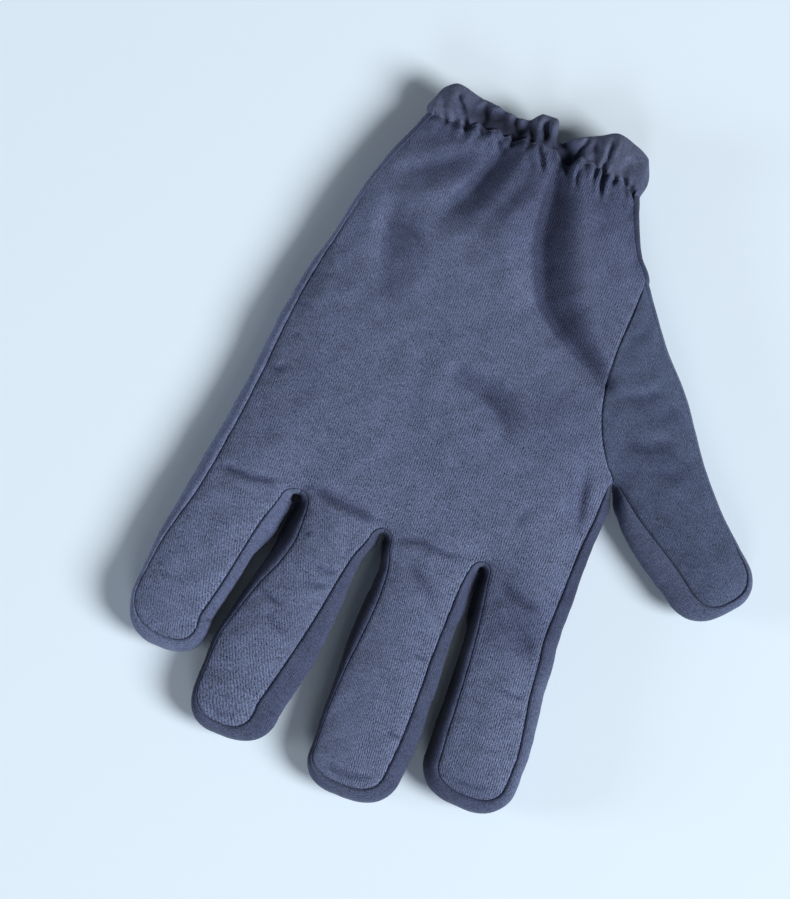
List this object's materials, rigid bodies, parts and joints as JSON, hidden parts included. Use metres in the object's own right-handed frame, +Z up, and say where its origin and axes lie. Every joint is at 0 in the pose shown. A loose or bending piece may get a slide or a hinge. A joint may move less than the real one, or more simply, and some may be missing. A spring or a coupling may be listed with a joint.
{
  "type": "work glove",
  "caption": "Thin twill work glove for the left hand, with boxed fingers, a set-in thumb and a gathered cuff, lying palm up.",
  "frame": {"origin": "on the surface that the glove lies on, under the middle of its bounding box", "axes": "+Y from the cuff to the fingertips, +X from the thumb side to the little finger, +Z up, out of the palm"},
  "size_m": [0.1974, 0.2468, 0.0203],
  "materials": {
    "shell": "blue melange twill, matt with a faint sheen",
    "side_strip": "blue melange twill, matt, rolled at its seams",
    "cuff_hem": "blue melange twill, matt, gathered",
    "lining": "black woven lining, matt"
  },
  "bodies": {
    "root": {"palm_panel": "shell", "thumb_panel": "shell", "back_panel": "shell", "strip_little": "side_strip", "strip_ring": "side_strip", "strip_middle": "side_strip", "strip_index": "side_strip", "strip_thumb": "side_strip", "cuff_ruffle": "cuff_hem", "cuff_lining": "lining"}
  },
  "joints": []
}
